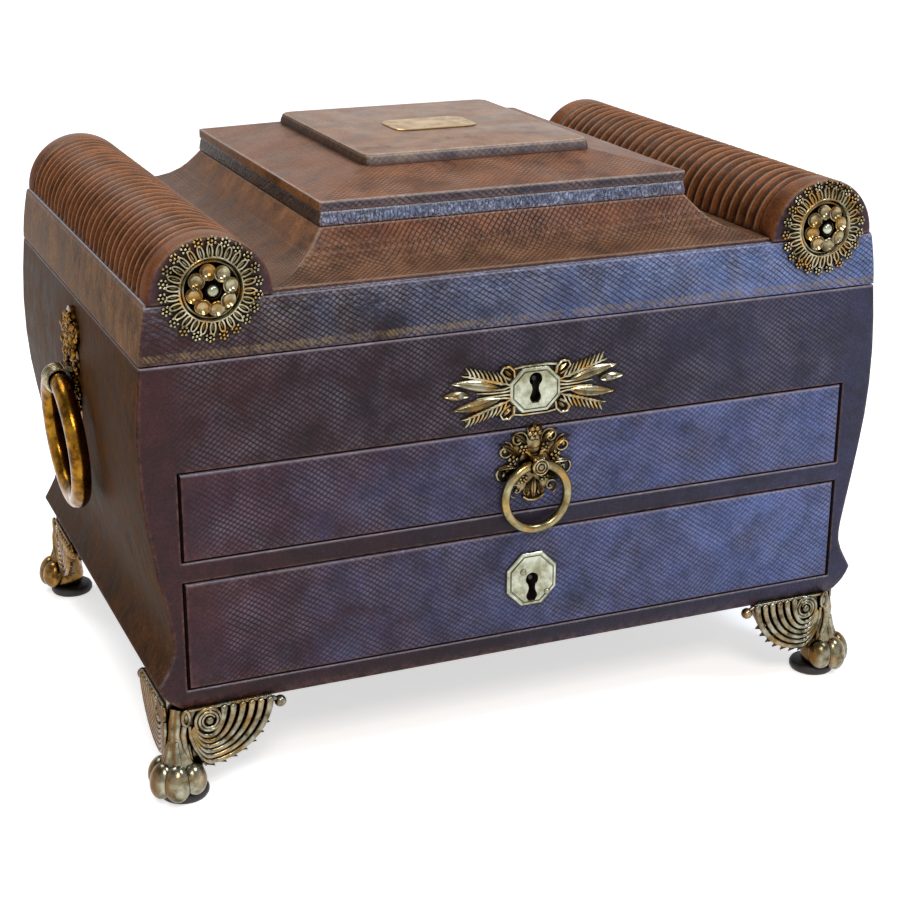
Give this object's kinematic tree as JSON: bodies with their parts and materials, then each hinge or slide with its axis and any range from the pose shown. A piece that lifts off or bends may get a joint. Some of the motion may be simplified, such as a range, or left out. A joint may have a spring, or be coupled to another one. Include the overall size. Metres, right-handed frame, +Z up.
{
  "type": "writing casket",
  "caption": "Leather covered table casket with a coved lid between reeded bolsters, an upper drawer with ring pull, a locking writing drawer, ring handles and cast paw feet.",
  "frame": {"origin": "on the table under the middle of the part, at the bottom centre of its bounding box", "axes": "+X to the viewer's right when facing the front, +Y from the front to the back, +Z up"},
  "size_m": [0.3288, 0.2296, 0.2271],
  "materials": {
    "leather": "grained and polished, dark red brown, worn",
    "gilt_brass": "gilt, rubbed pale",
    "carcase_wood": "plain planed pine, waxed",
    "drawer_wood": "waxed",
    "lock_iron": "filed iron",
    "pad_black": "black, dull",
    "flap_leather": "smooth green writing skiver",
    "ink_glass": "clear cut glass"
  },
  "bodies": {
    "case": {"left_end_board": "leather", "right_end_board": "leather", "base_board": "leather", "back_panel": "leather", "top_rail": "leather", "drawer_divider": "leather", "compartment_floor": "carcase_wood", "tray_ledges": "carcase_wood", "foot_front_left": "gilt_brass", "foot_front_right": "gilt_brass", "foot_back_left": "gilt_brass", "foot_back_right": "gilt_brass", "foot_pads": "pad_black", "hinge_case_leaves": "gilt_brass", "hinge_pins": "gilt_brass", "lid_lock": "lock_iron", "lid_escutcheon": "gilt_brass", "leaf_sprays": "gilt_brass", "handle_plate_left": "gilt_brass", "handle_plate_right": "gilt_brass", "handle_eye_left": "gilt_brass", "handle_eye_right": "gilt_brass"},
    "lid": {"lid_front": "leather", "lid_back": "leather", "lid_left_end": "leather", "lid_right_end": "leather", "lid_top_board": "leather", "lid_coving": "leather", "step_plate": "leather", "cap": "leather", "nameplate": "gilt_brass", "bolster_left": "leather", "bolster_right": "leather", "rosette_left": "gilt_brass", "rosette_right": "gilt_brass", "rosette_nails": "gilt_brass", "lid_striker": "lock_iron", "hinge_lid_leaves": "gilt_brass"},
    "lid_bolt": {"lid_lock_bolt": "lock_iron"},
    "upper_drawer": {"upper_drawer_front": "leather", "upper_drawer_box": "drawer_wood", "upper_drawer_bottom": "drawer_wood", "pull_plate": "gilt_brass", "pull_eye": "gilt_brass"},
    "upper_pull_ring": {"pull_ring": "gilt_brass"},
    "writing_drawer": {"lower_drawer_front": "leather", "lower_drawer_box": "drawer_wood", "lower_drawer_bottom": "drawer_wood", "drawer_lock": "lock_iron", "drawer_escutcheon": "gilt_brass", "flap_pin": "gilt_brass", "desk_divider": "drawer_wood", "pen_tray": "drawer_wood", "inkwell": "ink_glass", "inkwell_cap": "gilt_brass"},
    "drawer_bolt": {"drawer_lock_bolt": "lock_iron"},
    "flap": {"writing_flap": "flap_leather"},
    "tray": {"lift_out_tray": "carcase_wood"},
    "left_handle": {"handle_ring_left": "gilt_brass"},
    "right_handle": {"handle_ring_right": "gilt_brass"}
  },
  "joints": [
    {"name": "lid_hinge", "type": "hinge", "parent": "case", "child": "lid", "pos_m": [0, 0.1074, 0.1696], "axis": [-1, 0, 0], "range_deg": [0, 100]},
    {"name": "lid_bolt_slide", "type": "slide", "parent": "case", "child": "lid_bolt", "axis": [1, 0, 0], "range_m": [0, 0.005]},
    {"name": "upper_drawer_slide", "type": "slide", "parent": "case", "child": "upper_drawer", "axis": [0, -1, 0], "range_m": [0, 0.15]},
    {"name": "upper_pull_swing", "type": "hinge", "parent": "upper_drawer", "child": "upper_pull_ring", "pos_m": [0, -0.1086, 0.115], "axis": [-1, 0, 0], "range_deg": [0, 120]},
    {"name": "writing_drawer_slide", "type": "slide", "parent": "case", "child": "writing_drawer", "axis": [0, -1, 0], "range_m": [0, 0.15]},
    {"name": "drawer_bolt_slide", "type": "slide", "parent": "writing_drawer", "child": "drawer_bolt", "axis": [0, 0, 1], "range_m": [0, 0.005]},
    {"name": "flap_hinge", "type": "hinge", "parent": "writing_drawer", "child": "flap", "pos_m": [0, -0.083, 0.0583], "axis": [1, 0, 0], "range_deg": [0, 11]},
    {"name": "tray_lift", "type": "slide", "parent": "case", "child": "tray", "axis": [0, 0, 1], "range_m": [0, 0.02]},
    {"name": "left_handle_swing", "type": "hinge", "parent": "case", "child": "left_handle", "pos_m": [-0.1587, 0, 0.1363], "axis": [0, 1, 0], "range_deg": [0, 110]},
    {"name": "right_handle_swing", "type": "hinge", "parent": "case", "child": "right_handle", "pos_m": [0.1587, 0, 0.1363], "axis": [0, -1, 0], "range_deg": [0, 110]}
  ]
}
